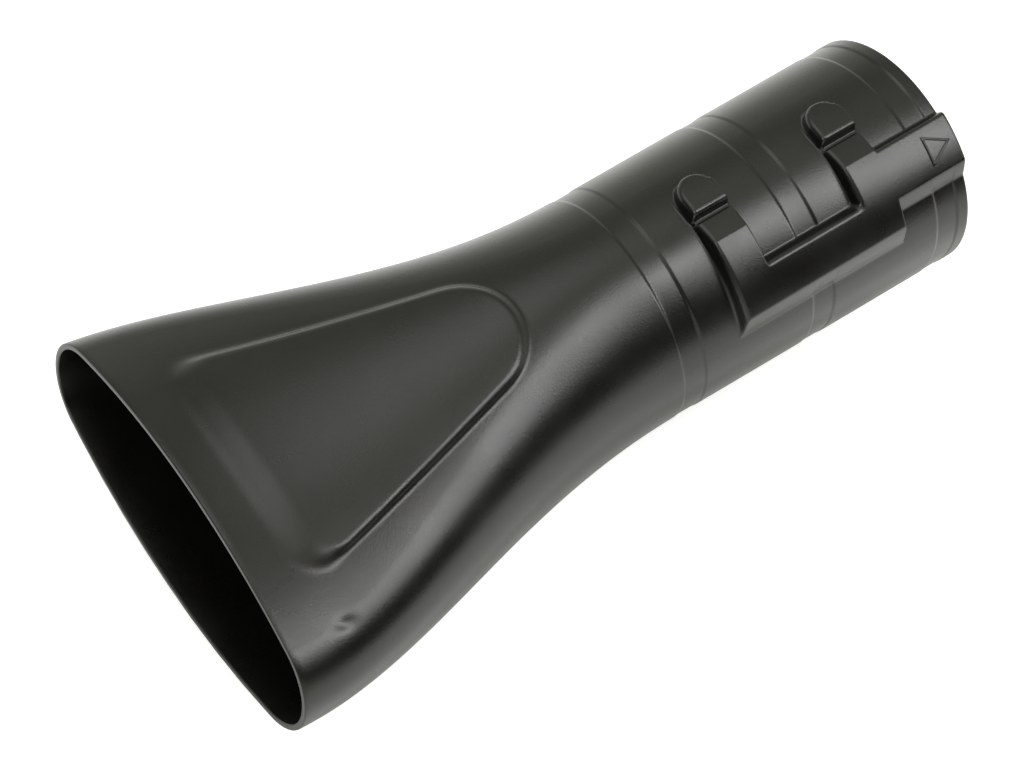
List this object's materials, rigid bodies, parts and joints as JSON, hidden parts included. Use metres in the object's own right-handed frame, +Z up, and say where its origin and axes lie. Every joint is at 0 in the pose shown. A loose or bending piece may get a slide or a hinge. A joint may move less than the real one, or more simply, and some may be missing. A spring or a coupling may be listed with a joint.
{
  "type": "leaf blower nozzle tube",
  "caption": "Flat fan nozzle tube for a leaf blower: a round socket with a raised bayonet track flares and bends into a wide oval mouth.",
  "frame": {"origin": "on the surface that the tube lies on, under the middle of its box", "axes": "+Z up, +X towards the mouth, along the tube as it lies; the bayonet track is on the +Y side"},
  "size_m": [0.2524, 0.1274, 0.0849],
  "materials": {
    "shell": "satin"
  },
  "bodies": {
    "root": {"nozzle_tube": "shell"}
  },
  "joints": []
}
